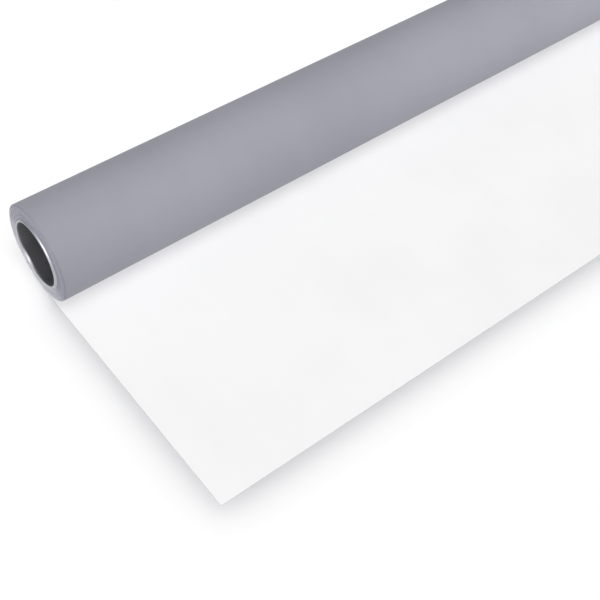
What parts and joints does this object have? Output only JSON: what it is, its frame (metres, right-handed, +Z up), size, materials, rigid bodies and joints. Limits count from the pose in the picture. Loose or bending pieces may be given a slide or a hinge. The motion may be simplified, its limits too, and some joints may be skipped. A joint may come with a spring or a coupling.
{
  "type": "backdrop roll",
  "caption": "Two-tone vinyl backdrop roll on an aluminium tube core, white face in and grey back out, with the start of its sheet drawn out flat along the floor",
  "frame": {"origin": "on the tube core's axis, halfway along the tube", "axes": "+X along the tube, +Z up, and the sheet leaves the bottom of the roll and lies flat towards -Y"},
  "size_m": [1.3528, 0.2729, 0.0806],
  "materials": {
    "core_metal": "mill finish extrusion with bright cut rims",
    "core_tape": "translucent double-sided tape",
    "grey_backing": "matte, slightly violet grey",
    "white_face": "matte white"
  },
  "bodies": {
    "laid_sheet": {"laid_grey_backing": "grey_backing", "laid_white_face": "white_face"},
    "roll": {"core_tube": "core_metal", "core_tape": "core_tape", "wound_grey_backing": "grey_backing", "wound_white_face": "white_face"}
  },
  "joints": [
    {"name": "roll_turn", "type": "hinge", "parent": "laid_sheet", "child": "roll", "pos_m": [0, 0, 0], "axis": [1, 0, 0], "range_deg": [0, 300]}
  ]
}
